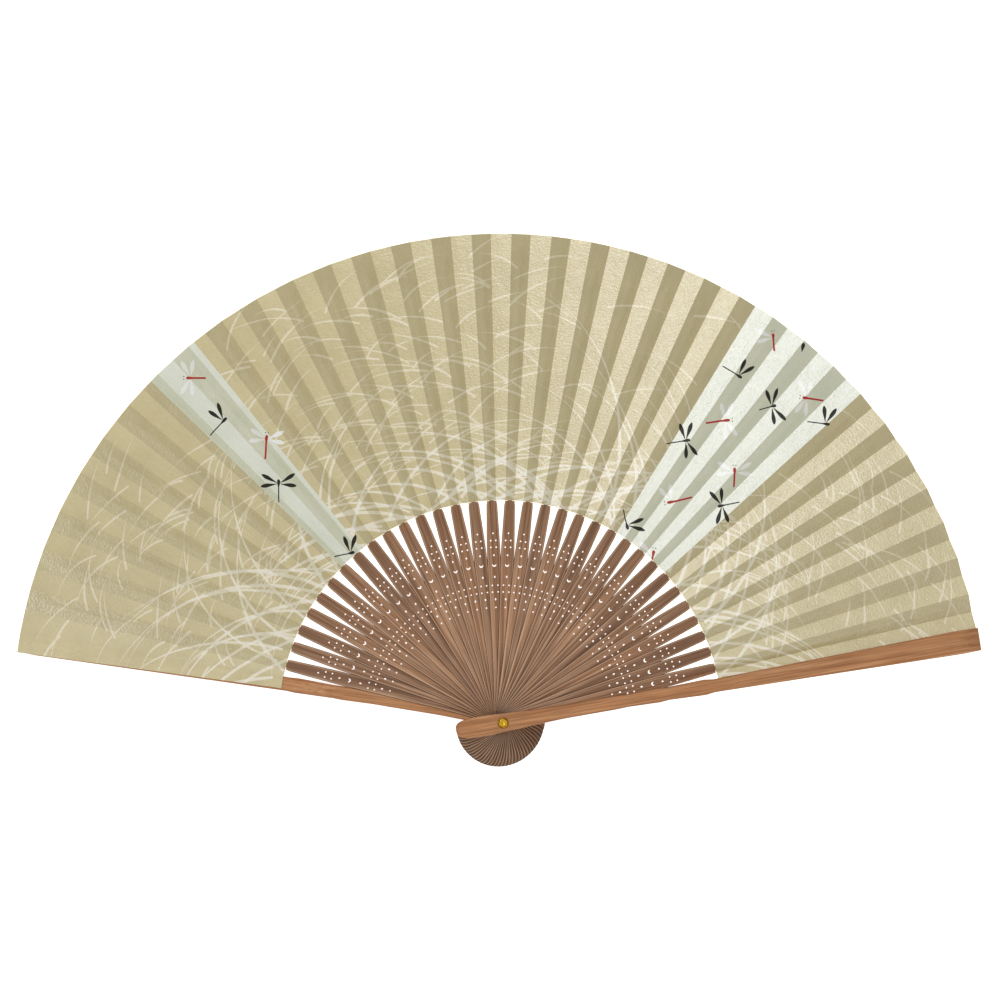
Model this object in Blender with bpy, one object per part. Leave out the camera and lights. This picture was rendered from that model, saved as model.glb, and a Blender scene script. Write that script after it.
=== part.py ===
"""A folding fan that lies open and flat, its rivet standing on +Z through the origin.

The rear guard is at the bottom of the stack and rests on z = 0. The ribs climb over it one by one,
and the front guard is on top. Every stick turns about the rivet. The pleated paper leaf is made in
sections of two ribs each, so that each section can ride on a rib when the fan closes.
"""

import math

import bmesh
import bpy

MM = 0.001

# Driving sizes
RIB_COUNT = 33
FRONT_AZIMUTH = math.radians(9.2)
REAR_AZIMUTH = math.radians(170.3)
GAP_GROWTH = 0.055  # how much wider the gaps are beside the rear guard, as a share of the mean
GUARD_TIP = 208.6 * MM
GUARD_HEEL = 20.2 * MM
GUARD_HEEL_HALF = 4.3 * MM
GUARD_THICK = 3.0 * MM
GUARD_LEAF_THICK = 1.1 * MM
GUARD_RAMP_START = 70.0 * MM
GUARD_RAMP_END = 90.0 * MM
RIB_HEEL = 20.0 * MM
RIB_HEEL_HALF = 2.9 * MM
RIB_SHOULDER = 94.2 * MM
RIB_THICK = 0.38 * MM
STACK_GAP = 0.12 * MM
TONGUE_HALF_THICK = 0.13 * MM
TONGUE_ROOT_HALF = 1.0 * MM
TONGUE_END_HALF = 0.6 * MM
TONGUE_END = 198.0 * MM
TONGUE_POINT = 1.5 * MM  # how far the tongue's end tapers
TWIST_START = 70.6 * MM
TWIST_END = 93.0 * MM
FOLD_SLOPE = math.tan(math.radians(20.0))
LEAF_INNER = 94.4 * MM
LEAF_OUTER = 208.0 * MM
LEAF_THICK = 0.30 * MM
POCKET_CLEARANCE = 0.05 * MM
POCKET_SIDE = 0.10 * MM
POCKET_WALL = 0.15 * MM
POCKET_END = 200.0 * MM
RIDGE_SLOPE = 0.5 * MM  # how far the paper takes to come back down beside a tongue
RIDGE_REACH = 0.97  # the ridge's foot stays within this share of the way to the crease
SEAM = 0.05 * MM  # each leaf section stops this short of its neighbour
PIN_RADIUS = 1.15 * MM
BORE_RADIUS = 1.25 * MM
HEAD_RADIUS = 1.75 * MM
WASHER_RADIUS = 2.3 * MM
WASHER_THICK = 0.35 * MM
RECESS_RADIUS = 2.6 * MM
FIT_GAP = 0.10 * MM
ROUND_STEPS = 24

# Worked out from the driving sizes
GAP_COUNT = RIB_COUNT + 1
STACK_STEP = RIB_THICK + STACK_GAP
FIRST_RIB_Z = GUARD_THICK + STACK_GAP + RIB_THICK / 2
FRONT_Z = FIRST_RIB_Z + (RIB_COUNT - 1) * STACK_STEP + RIB_THICK / 2 + STACK_GAP
FRONT_TOP = FRONT_Z + GUARD_THICK
HEAD_THICK = 0.55 * MM
RECESS_DEPTH = HEAD_THICK + WASHER_THICK + 2 * FIT_GAP
HEEL_CENTRE = 6.0 * MM  # the heel's rounding starts this far behind the rivet
HEEL_STEPS = 7
HEEL_BLUNTNESS = 3.4  # 2 makes the heel an ellipse, and more makes it squarer
BESIDE_RIVET = [math.radians(degrees) for degrees in (45.0, 67.5, 90.0, 112.5, 133.0)]

# (distance from the rivet, half width)
GUARD_HALF_WIDTHS = (
    (8 * MM, 3.45 * MM),
    (24 * MM, 2.85 * MM),
    (49 * MM, 2.60 * MM),
    (GUARD_RAMP_START, 2.85 * MM),
    (GUARD_RAMP_END, 3.12 * MM),
    (207.7 * MM, 4.53 * MM),
    (GUARD_TIP, 4.15 * MM),
)
RIB_HALF_WIDTHS = (
    (8 * MM, 2.55 * MM),
    (24 * MM, 2.30 * MM),
    (45 * MM, 2.55 * MM),
    (TWIST_START, 2.90 * MM),
    (76 * MM, 2.80 * MM),
    (82.6 * MM, 2.65 * MM),
    (88 * MM, 2.48 * MM),
    (TWIST_END, 2.35 * MM),
    (RIB_SHOULDER - 0.4 * MM, 2.28 * MM),
    (RIB_SHOULDER, 1.90 * MM),
)


def stick_azimuth(number):
    """The direction of a stick: 0 is the rear guard, 1 to RIB_COUNT the ribs, GAP_COUNT the front guard."""
    share = number / GAP_COUNT
    share += GAP_GROWTH * share * (1 - share)
    return REAR_AZIMUTH + (FRONT_AZIMUTH - REAR_AZIMUTH) * share


def fold_half_angle(number):
    """Half the angle that a stick's own pleat face covers: a quarter of the gaps beside it."""
    before = stick_azimuth(max(number - 1, 0))
    after = stick_azimuth(min(number + 1, GAP_COUNT))
    gaps = min(number + 1, GAP_COUNT) - max(number - 1, 0)
    return (before - after) / gaps / 4


def rib_z(number):
    return FIRST_RIB_Z + (number - 1) * STACK_STEP


def smooth(share):
    share = min(max(share, 0.0), 1.0)
    return share * share * (3 - 2 * share)


def rib_slope(distance):
    """The sideways slope of a rib, flat at the rivet and as steep as its pleat at the leaf."""
    return FOLD_SLOPE * smooth((distance - TWIST_START) / (TWIST_END - TWIST_START))


def heel_outline(heel, widest, front, front_half):
    """A stick's rounded heel, from its left side at front, back round the rivet, to its right side."""
    left = [(front, front_half)]
    middle_half = (widest + front_half) / 2
    for turn in BESIDE_RIVET:
        left.append((middle_half / math.tan(turn), middle_half))
    for step in range(HEEL_STEPS):
        turn = math.pi / 2 * (step / HEEL_STEPS)
        along = -HEEL_CENTRE - (heel - HEEL_CENTRE) * math.sin(turn) ** (2 / HEEL_BLUNTNESS)
        left.append((along, widest * math.cos(turn) ** (2 / HEEL_BLUNTNESS)))
    right = [(along, -aside) for along, aside in reversed(left)]
    return [*left, (-heel, 0.0), *right]


class Shell:
    """A mesh that is put together from rings of points."""

    def __init__(self):
        self.mesh = bmesh.new()

    def ring(self, points):
        return [self.mesh.verts.new(point) for point in points]

    def face(self, *corners):
        self.mesh.faces.new(corners)

    def bridge(self, first, second, closed=True):
        count = len(first)
        for i in range(count if closed else count - 1):
            j = (i + 1) % count
            self.face(first[i], first[j], second[j], second[i])

    def skew_quad(self, near_left, near_right, far_right, far_left):
        """Two triangles. Upper and lower faces split the same way, so that stacked sticks stay apart."""
        self.face(near_left, near_right, far_right)
        self.face(near_left, far_right, far_left)

    def finish(self, name):
        bmesh.ops.recalc_face_normals(self.mesh, faces=self.mesh.faces)
        bmesh.ops.triangulate(self.mesh, faces=self.mesh.faces)
        data = bpy.data.meshes.new(name)
        self.mesh.to_mesh(data)
        self.mesh.free()
        return data


def stick_mesh(name, heel, stations, bore):
    """A stick along +X. Its heel is flat and has the bore, and stations carry on from the heel's front.

    A station is (distance, half width, low, high, slope). The bore is (radius, z) from low to high.
    """
    shell = Shell()
    _, _, low, high, _ = stations[0]
    top = shell.ring([(x, y, high) for x, y in heel])
    bottom = shell.ring([(x, y, low) for x, y in heel])
    turns = [math.atan2(y, x) for x, y in heel]
    bores = [
        shell.ring([(radius * math.cos(turn), radius * math.sin(turn), z) for turn in turns])
        for radius, z in bore
    ]
    shell.bridge(bottom, bores[0])
    for lower, upper in zip(bores, bores[1:]):
        shell.bridge(lower, upper)
    shell.bridge(bores[-1], top)
    shell.bridge(top, bottom, closed=False)
    last = [top[0], top[-1], bottom[-1], bottom[0]]
    for distance, half, low, high, slope in stations[1:]:
        corners = ((half, high), (-half, high), (-half, low), (half, low))
        ring = shell.ring([(distance, y, z + y * slope) for y, z in corners])
        shell.skew_quad(last[0], last[1], ring[1], ring[0])
        shell.skew_quad(last[3], last[2], ring[2], ring[3])
        shell.face(last[1], last[2], ring[2], ring[1])
        shell.face(last[3], last[0], ring[0], ring[3])
        last = ring
    shell.face(*last)
    return shell.finish(name)


def guard_mesh(name, is_rear):
    """A guard from z = 0 up. At the leaf the rear one is thinned from above and the front one from below."""
    stations = []
    for distance, half in GUARD_HALF_WIDTHS:
        ramp = (distance - GUARD_RAMP_START) / (GUARD_RAMP_END - GUARD_RAMP_START)
        cut = (GUARD_THICK - GUARD_LEAF_THICK) * min(max(ramp, 0.0), 1.0)
        low = 0.0 if is_rear else cut
        high = GUARD_THICK - cut if is_rear else GUARD_THICK
        stations.append((distance, half, low, high, 0.0))
    front, front_half = GUARD_HALF_WIDTHS[0]
    heel = heel_outline(GUARD_HEEL, GUARD_HEEL_HALF, front, front_half)
    bore = [(BORE_RADIUS, 0.0), (BORE_RADIUS, GUARD_THICK)]
    if is_rear:
        bore = [
            (RECESS_RADIUS, 0.0),
            (RECESS_RADIUS, RECESS_DEPTH),
            (BORE_RADIUS, RECESS_DEPTH),
            (BORE_RADIUS, GUARD_THICK),
        ]
    return stick_mesh(name, heel, stations, bore)


def rib_mesh():
    half_thick = RIB_THICK / 2
    stations = [
        (distance, half, -half_thick, half_thick, rib_slope(distance))
        for distance, half in RIB_HALF_WIDTHS
    ]
    tongue = (
        (RIB_SHOULDER, TONGUE_ROOT_HALF),
        (TONGUE_END - TONGUE_POINT, TONGUE_END_HALF),
        (TONGUE_END, TONGUE_END_HALF / 2),
    )
    stations += [
        (distance, half, -TONGUE_HALF_THICK, TONGUE_HALF_THICK, FOLD_SLOPE)
        for distance, half in tongue
    ]
    front, front_half = RIB_HALF_WIDTHS[0]
    heel = heel_outline(RIB_HEEL, RIB_HEEL_HALF, front, front_half)
    bore = [(BORE_RADIUS, -half_thick), (BORE_RADIUS, half_thick)]
    return stick_mesh("rib_mesh", heel, stations, bore)


def tongue_half(distance):
    share = (distance - RIB_SHOULDER) / (TONGUE_END - RIB_SHOULDER)
    return TONGUE_ROOT_HALF + (TONGUE_END_HALF - TONGUE_ROOT_HALF) * share


def leaf_point(number, aside, distance, lift, slope, middle):
    """A point on a stick's pleat face: aside is how far left of the stick's line it lies."""
    azimuth = stick_azimuth(number)
    x = distance * math.cos(azimuth) - aside * math.sin(azimuth)
    y = distance * math.sin(azimuth) + aside * math.cos(azimuth)
    return x, y, middle + aside * slope + lift


def pleat_stations(number, distance):
    """Across one stick's pleat face, from left to right: (aside, extra half thickness)."""
    crease = distance * math.tan(fold_half_angle(number))
    if number in (0, GAP_COUNT):
        return [(crease, 0.0), (-crease, 0.0)]
    pocket = tongue_half(distance) + POCKET_SIDE
    swell = TONGUE_HALF_THICK + POCKET_CLEARANCE + POCKET_WALL - LEAF_THICK / 2
    foot = min(pocket + RIDGE_SLOPE, crease * RIDGE_REACH)
    return [
        (crease, 0.0),
        (foot, 0.0),
        (pocket, swell),
        (-pocket, swell),
        (-foot, 0.0),
        (-crease, 0.0),
    ]


def pleat_frame(number):
    """(slope, middle z) of a stick's pleat face. On a guard the paper lies flat."""
    if number == 0:
        return 0.0, GUARD_LEAF_THICK + FIT_GAP + LEAF_THICK / 2
    if number == GAP_COUNT:
        return 0.0, FRONT_TOP - GUARD_LEAF_THICK - FIT_GAP - LEAF_THICK / 2
    return FOLD_SLOPE, rib_z(number)


def leaf_profile(numbers, lead, distance):
    """(upper points, lower points) across a leaf section at one distance from the rivet.

    The section starts at the right-hand crease of the stick named by lead, or at its own left edge.
    """
    upper, lower = [], []
    half = LEAF_THICK / 2
    if lead is not None:
        slope, middle = pleat_frame(lead)
        aside = -distance * math.tan(fold_half_angle(lead)) - SEAM
        for points, lift in ((upper, half), (lower, -half)):
            points.append(leaf_point(lead, aside, distance, lift, slope, middle))
    for number in numbers:
        slope, middle = pleat_frame(number)
        stations = pleat_stations(number, distance)
        if number == numbers[-1] and number != GAP_COUNT:
            aside, extra = stations[-1]
            stations[-1] = (aside + SEAM, extra)
        for aside, extra in stations:
            for points, lift in ((upper, half + extra), (lower, -half - extra)):
                points.append(leaf_point(number, aside, distance, lift, slope, middle))
    return upper, lower


def pocket_ring(number, distance):
    """The four corners of a tongue's pocket, inside the paper."""
    side = tongue_half(distance) + POCKET_SIDE
    lift = TONGUE_HALF_THICK + POCKET_CLEARANCE
    corners = ((side, lift), (-side, lift), (-side, -lift), (side, -lift))
    return [
        leaf_point(number, aside, distance, z, FOLD_SLOPE, rib_z(number)) for aside, z in corners
    ]


def leaf_mesh(name, numbers, lead):
    """One section of the pleated leaf, with a pocket for each tongue, open at the inner edge."""
    shell = Shell()
    inner = [shell.ring(points) for points in leaf_profile(numbers, lead, LEAF_INNER)]
    outer = [shell.ring(points) for points in leaf_profile(numbers, lead, LEAF_OUTER)]
    for near, far in zip(inner, outer):
        shell.bridge(near, far, closed=False)
    for end in (0, -1):
        shell.face(inner[0][end], outer[0][end], outer[1][end], inner[1][end])
    shell.bridge(outer[0], outer[1], closed=False)

    pockets = {}
    start = 0 if lead is None else 1
    for number in numbers:
        if number in (0, GAP_COUNT):
            start += 2
            continue
        mouth = shell.ring(pocket_ring(number, LEAF_INNER))
        end = shell.ring(pocket_ring(number, POCKET_END))
        shell.bridge(mouth, end)
        shell.face(*end)
        pockets[start + 2] = mouth
        start += 6
    upper, lower = inner
    for i in range(len(upper) - 1):
        if i not in pockets:
            if i + 1 in pockets:
                left_high, _, _, left_low = pockets[i + 1]
                shell.face(upper[i], upper[i + 1], left_high, left_low, lower[i + 1], lower[i])
            elif i - 1 in pockets:
                _, right_high, right_low, _ = pockets[i - 1]
                shell.face(upper[i], upper[i + 1], lower[i + 1], lower[i], right_low, right_high)
            else:
                shell.face(upper[i], upper[i + 1], lower[i + 1], lower[i])
            continue
        left_high, right_high, right_low, left_low = pockets[i]
        shell.face(upper[i], upper[i + 1], right_high, left_high)
        shell.face(lower[i], lower[i + 1], right_low, left_low)
    return shell.finish(name)


def lathe_mesh(name, profile):
    """A round solid about +Z. A profile that starts and ends on the axis is closed by end points."""
    shell = Shell()
    rings = []
    for radius, z in profile:
        if radius == 0:
            rings.append(shell.ring([(0, 0, z)]))
            continue
        turns = [2 * math.pi * step / ROUND_STEPS for step in range(ROUND_STEPS)]
        rings.append(shell.ring([(radius * math.cos(t), radius * math.sin(t), z) for t in turns]))
    pairs = list(zip(rings, rings[1:]))
    if len(rings[0]) > 1:
        pairs.append((rings[-1], rings[0]))
    for first, second in pairs:
        if len(first) == 1:
            first = first * ROUND_STEPS
        if len(second) == 1:
            second = second * ROUND_STEPS
        for i in range(ROUND_STEPS):
            j = (i + 1) % ROUND_STEPS
            corners = list(dict.fromkeys((first[i], first[j], second[j], second[i])))
            shell.face(*corners)
    return shell.finish(name)


def make_material(name, colour, metallic, roughness):
    made = bpy.data.materials.new(name)
    made.use_nodes = True
    shader = made.node_tree.nodes["Principled BSDF"]
    shader.inputs["Base Color"].default_value = (*colour, 1.0)
    shader.inputs["Metallic"].default_value = metallic
    shader.inputs["Roughness"].default_value = roughness
    return made


def add(name, data, material, azimuth=0.0, z=0.0):
    """A named object with its origin on the rivet's axis."""
    if not data.materials:
        data.materials.append(material)
    made = bpy.data.objects.new(name, data)
    made.location = (0.0, 0.0, z)
    made.rotation_euler = (0.0, 0.0, azimuth)
    bpy.context.scene.collection.objects.link(made)


def build_guards():
    bamboo = make_material("pale_bamboo", (0.55, 0.29, 0.15), 0.0, 0.5)
    add("rear_guard", guard_mesh("rear_guard", True), bamboo, stick_azimuth(0))
    front = guard_mesh("front_guard", False)
    add("front_guard", front, bamboo, stick_azimuth(GAP_COUNT), FRONT_Z)


def build_ribs():
    stained = make_material("stained_bamboo", (0.30, 0.16, 0.09), 0.0, 0.45)
    data = rib_mesh()
    for number in range(1, RIB_COUNT + 1):
        add(f"rib_{number:02d}", data, stained, stick_azimuth(number), rib_z(number))


def build_leaf():
    paper = make_material("washi_paper", (0.55, 0.46, 0.26), 0.0, 0.8)
    section = 1
    for first in range(1, GAP_COUNT, 2):
        numbers = [first, first + 1]
        lead = first - 1
        if first == 1:
            numbers = [0, *numbers]
            lead = None
        name = f"leaf_section_{section:02d}"
        add(name, leaf_mesh(name, numbers, lead), paper)
        section += 1


def build_rivet():
    brass = make_material("brass", (0.62, 0.42, 0.10), 1.0, 0.3)
    head_rim = 0.25 * MM
    crown_radius = 0.7 * HEAD_RADIUS
    dimple_radius = 0.7 * MM
    dimple_depth = 0.25 * MM
    head_low = FRONT_TOP + WASHER_THICK + 2 * FIT_GAP
    pin = [
        (0, 0),
        (HEAD_RADIUS, 0),
        (HEAD_RADIUS, HEAD_THICK),
        (PIN_RADIUS, HEAD_THICK),
        (PIN_RADIUS, head_low),
        (HEAD_RADIUS, head_low),
        (HEAD_RADIUS, head_low + head_rim),
        (crown_radius, head_low + HEAD_THICK),
        (dimple_radius, head_low + HEAD_THICK),
        (0, head_low + HEAD_THICK - dimple_depth),
    ]
    add("rivet_pin", lathe_mesh("rivet_pin", pin), brass)
    for name, low in (
        ("rivet_washer_rear", HEAD_THICK + FIT_GAP),
        ("rivet_washer_front", FRONT_TOP + FIT_GAP),
    ):
        ring = [
            (BORE_RADIUS, low),
            (WASHER_RADIUS, low),
            (WASHER_RADIUS, low + WASHER_THICK),
            (BORE_RADIUS, low + WASHER_THICK),
        ]
        add(name, lathe_mesh(name, ring), brass)


def clear_scene():
    for old in list(bpy.data.objects):
        bpy.data.objects.remove(old)


clear_scene()
build_guards()
build_ribs()
build_leaf()
build_rivet()
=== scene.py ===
"""The looks of an open folding fan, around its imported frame.

Bamboo sticks with pierced ribs, a pleated paper leaf printed with bending grass and small dragonflies,
and a brass rivet. Lengths are in metres. Around a stick, x runs outwards from the rivet and y to its
left. A print's place is (azimuth in degrees, distance from the rivet in metres).
"""

import math
import random

import bmesh
import bpy
import numpy as np
from mathutils import Matrix, Vector, noise
from mathutils.geometry import delaunay_2d_cdt


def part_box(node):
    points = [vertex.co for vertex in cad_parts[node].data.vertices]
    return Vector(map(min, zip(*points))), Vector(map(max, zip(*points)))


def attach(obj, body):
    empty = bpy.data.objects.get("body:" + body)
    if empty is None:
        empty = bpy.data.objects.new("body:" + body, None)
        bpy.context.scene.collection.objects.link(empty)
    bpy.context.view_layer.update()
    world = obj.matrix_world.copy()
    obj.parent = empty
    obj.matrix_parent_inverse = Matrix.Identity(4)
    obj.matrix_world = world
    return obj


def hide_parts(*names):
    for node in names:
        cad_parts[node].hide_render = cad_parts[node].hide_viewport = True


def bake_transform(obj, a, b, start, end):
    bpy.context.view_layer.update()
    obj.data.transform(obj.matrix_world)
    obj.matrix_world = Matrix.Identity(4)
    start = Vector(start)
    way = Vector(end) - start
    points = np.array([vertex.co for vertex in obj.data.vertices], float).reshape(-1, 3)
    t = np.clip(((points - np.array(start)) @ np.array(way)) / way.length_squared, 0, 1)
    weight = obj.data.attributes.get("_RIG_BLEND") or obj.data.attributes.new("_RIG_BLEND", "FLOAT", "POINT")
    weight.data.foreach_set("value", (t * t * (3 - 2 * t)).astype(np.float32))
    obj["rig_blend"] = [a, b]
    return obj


MM = 0.001

RIB_COUNT = 33
LAST = RIB_COUNT + 1  # the front guard's number; the rear guard's is 0
FOLD_SLOPE = math.tan(math.radians(20.0))
TWIST_START = 70.6 * MM
TWIST_END = 93.0 * MM
HEEL_CENTRE = 6.0 * MM
HEEL_STEPS = 16
HEEL_BLUNTNESS = 3.4  # 2 makes an ellipse, more makes it squarer
BORE_RADIUS = 1.25 * MM
BORE_STEPS = 40
RECESS_RADIUS = 2.6 * MM
RECESS_DEPTH = 1.1 * MM
CLEAR_OF_BORE = 0.05 * MM  # mesh corners further out than the recess by this belong to the outline
CUT_NEAR = 1e-4  # points closer than this, in millimetres, become one when a face is cut

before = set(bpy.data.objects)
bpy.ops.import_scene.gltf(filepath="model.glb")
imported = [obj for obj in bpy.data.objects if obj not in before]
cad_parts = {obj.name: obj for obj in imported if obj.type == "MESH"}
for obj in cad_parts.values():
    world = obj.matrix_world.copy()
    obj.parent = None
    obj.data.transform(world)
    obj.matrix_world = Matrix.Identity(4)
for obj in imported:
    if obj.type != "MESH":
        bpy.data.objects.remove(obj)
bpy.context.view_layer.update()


# The frame, stick by stick


def stick_node(number):
    if number == 0:
        return "rear_guard"
    return "front_guard" if number == LAST else f"rib_{number:02d}"


def frame_points(node):
    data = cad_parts[node].data
    return np.array(sorted({tuple(round(c, 7) for c in vertex.co) for vertex in data.vertices}))


def smooth(share):
    share = np.clip(share, 0.0, 1.0)
    return share * share * (3 - 2 * share)


STICK_POINTS = [frame_points(stick_node(number)) for number in range(LAST + 1)]
MIDDLES = [points.mean(axis=0) for points in STICK_POINTS]
AZIMUTH = [math.atan2(middle[1], middle[0]) for middle in MIDDLES]
FOLLOW = [(AZIMUTH[0] - azimuth) / (AZIMUTH[0] - AZIMUTH[LAST]) for azimuth in AZIMUTH]
LEAF_NODES = sorted(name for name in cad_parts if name.startswith("leaf_section"))
LEAF_REACH = np.concatenate([np.hypot(*frame_points(node)[:, :2].T) for node in LEAF_NODES])


class Stick:
    """A stick's outline, read from its CAD mesh as if it lay along +X.

    stations are (x, half width) at each of the mesh's corners.
    """

    def __init__(self, number):
        points = STICK_POINTS[number]
        cos, sin = math.cos(AZIMUTH[number]), math.sin(AZIMUTH[number])
        along = points[:, 0] * cos + points[:, 1] * sin
        aside = points[:, 1] * cos - points[:, 0] * sin
        widths = {}
        for x, y in zip(along.round(6), aside.round(6)):
            if math.hypot(x, y) > RECESS_RADIUS + CLEAR_OF_BORE:
                widths.setdefault(float(x), []).append(abs(float(y)))
        self.stations = [(x, max(widths[x])) for x in sorted(widths)]
        self.heel = -self.stations[0][0]
        self.widest = max(half for x, half in self.stations if x <= -HEEL_CENTRE + MM)
        self.body = [(-HEEL_CENTRE, self.widest)]
        self.body += [(x, half) for x, half in self.stations if x > -HEEL_CENTRE + MM]

    def half(self, x):
        """Half the stick's width at x."""
        if x < -HEEL_CENTRE:
            share = min(1.0, (-x - HEEL_CENTRE) / (self.heel - HEEL_CENTRE))
            return self.widest * (1 - share**HEEL_BLUNTNESS) ** (1 / HEEL_BLUNTNESS)
        return float(np.interp(x, *zip(*self.body)))

    def heel_places(self):
        """Places round the heel, from just inside its end."""
        turns = [math.pi / 2 * (1 - step / HEEL_STEPS) for step in range(1, HEEL_STEPS)]
        shares = [math.sin(turn) ** (2 / HEEL_BLUNTNESS) for turn in turns]
        return [-HEEL_CENTRE - (self.heel - HEEL_CENTRE) * share for share in shares]


# Materials


def srgb(red, green, blue):
    """A colour as it looks on a screen, 0 to 255, in linear values."""
    return tuple(c / 255 / 12.92 if c <= 10 else ((c / 255 + 0.055) / 1.055) ** 2.4
                 for c in (red, green, blue))


class Paint:
    """A node tree around one Principled shader."""

    def __init__(self, name, roughness, metallic=0.0, specular=0.5):
        self.material = bpy.data.materials.new(name)
        self.material.use_nodes = True
        self.tree = self.material.node_tree
        self.shader = self.tree.nodes["Principled BSDF"]
        self.shader.inputs["Roughness"].default_value = roughness
        self.shader.inputs["Metallic"].default_value = metallic
        self.shader.inputs["Specular IOR Level"].default_value = specular

    def node(self, kind, **values):
        made = self.tree.nodes.new(kind)
        for key, value in values.items():
            setattr(made, key, value)
        return made

    def link(self, source, target):
        self.tree.links.new(source, target)

    def place(self, kind="Object", scale=(1, 1, 1), shift=None):
        mapping = self.node("ShaderNodeMapping")
        mapping.inputs["Scale"].default_value = scale
        self.link(self.node("ShaderNodeTexCoord").outputs[kind], mapping.inputs["Vector"])
        if shift is not None:
            self.link(shift, mapping.inputs["Location"])
        return mapping.outputs["Vector"]

    def noise(self, vector, scale, detail=3.0, roughness=0.55, distortion=0.0):
        made = self.node("ShaderNodeTexNoise")
        made.inputs["Scale"].default_value = scale
        made.inputs["Detail"].default_value = detail
        made.inputs["Roughness"].default_value = roughness
        made.inputs["Distortion"].default_value = distortion
        self.link(vector, made.inputs["Vector"])
        return made.outputs["Fac"]

    def spread(self, source, low, high, to_low=0.0, to_high=1.0):
        made = self.node("ShaderNodeMapRange")
        made.inputs["From Min"].default_value = low
        made.inputs["From Max"].default_value = high
        made.inputs["To Min"].default_value = to_low
        made.inputs["To Max"].default_value = to_high
        self.link(source, made.inputs["Value"])
        return made.outputs["Result"]

    def ramp(self, source, *stops):
        made = self.node("ShaderNodeValToRGB")
        elements = made.color_ramp.elements
        while len(elements) < len(stops):
            elements.new(0.5)
        for element, (place, colour) in zip(elements, stops):
            element.position = place
            element.color = (*colour, 1.0)
        self.link(source, made.inputs["Fac"])
        return made.outputs["Color"]

    def mix(self, amount, first, second, mode="MIX"):
        made = self.node("ShaderNodeMix", data_type="RGBA", blend_type=mode)
        for value, socket in ((amount, "Factor"), (first, "A"), (second, "B")):
            target = next(s for s in made.inputs if s.name == socket and s.enabled)
            if isinstance(value, bpy.types.NodeSocket):
                self.link(value, target)
            elif isinstance(value, tuple):
                target.default_value = (*value, 1.0)
            else:
                target.default_value = value
        return next(s for s in made.outputs if s.enabled)

    def colour(self, source):
        self.link(source, self.shader.inputs["Base Color"])

    def rough(self, source, low, high):
        self.link(self.spread(source, 0.3, 0.7, low, high), self.shader.inputs["Roughness"])

    def bump(self, source, height, strength):
        made = self.node("ShaderNodeBump")
        made.inputs["Strength"].default_value = strength
        made.inputs["Distance"].default_value = height
        self.link(source, made.inputs["Height"])
        self.link(made.outputs["Normal"], self.shader.inputs["Normal"])


def bamboo(name, dark, middle, light, edge, variety, deepened):
    """Split bamboo: long fibres along x, broad streaks, and a tint that differs from stick to stick.

    deepened is how far the colour darkens towards the leaf and at the heel.
    """
    paint = Paint(name, 0.5, specular=0.35)
    chance = paint.node("ShaderNodeObjectInfo").outputs["Random"]
    shift = paint.node("ShaderNodeCombineXYZ")
    for axis, reach in (("X", 7.0), ("Y", 30.0), ("Z", 13.0)):
        paint.link(paint.spread(chance, 0, 1, 0, reach), shift.inputs[axis])
    moved = shift.outputs["Vector"]
    streaks = paint.noise(paint.place(scale=(14, 900, 300), shift=moved), 1.0, 4.0, 0.6, 0.3)
    fibres = paint.noise(paint.place(scale=(45, 2700, 2700), shift=moved), 1.0, 4.0, 0.7)
    clouds = paint.noise(paint.place(scale=(45, 160, 160), shift=moved), 1.0, 2.0, 0.5)
    wood = paint.ramp(streaks, (0.3, dark), (0.5, middle), (0.72, light))
    wood = paint.mix(paint.spread(clouds, 0.4, 0.75, 0.0, 0.4), wood, dark)
    fine = paint.ramp(fibres, (0.32, (0.5, 0.47, 0.44)), (0.5, (0.98, 0.97, 0.96)), (0.7, (1.3, 1.28, 1.25)))
    wood = paint.mix(0.85, wood, fine, "MULTIPLY")
    tint = paint.ramp(chance, (0.0, (0.88, 0.87, 0.9)), (0.5, (1.0, 0.97, 0.94)), (1.0, (1.12, 1.03, 0.95)))
    wood = paint.mix(variety, wood, tint, "MULTIPLY")
    along = paint.node("ShaderNodeSeparateXYZ")
    paint.link(paint.place(), along.inputs[0])
    wood = paint.mix(paint.spread(along.outputs["X"], 0.045, 0.09, 0.0, deepened), wood, dark)
    wood = paint.mix(paint.spread(along.outputs["X"], -0.012, -0.002, deepened, 0.0), wood, edge)
    # rim paints each edge: a dark line at the very edge, partly stain and partly painted shadow, and a
    # painted highlight just inside it where the rounded edge catches the light
    rim = paint.node("ShaderNodeAttribute", attribute_name="rim").outputs["Fac"]
    wood = paint.mix(paint.spread(rim, 0.0, -1.0), wood, light)
    paint.colour(paint.mix(paint.spread(rim, 0.0, 1.0), wood, edge))
    paint.rough(fibres, 0.42, 0.62)
    paint.bump(fibres, 0.00005, 0.6)
    return paint.material


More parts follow.
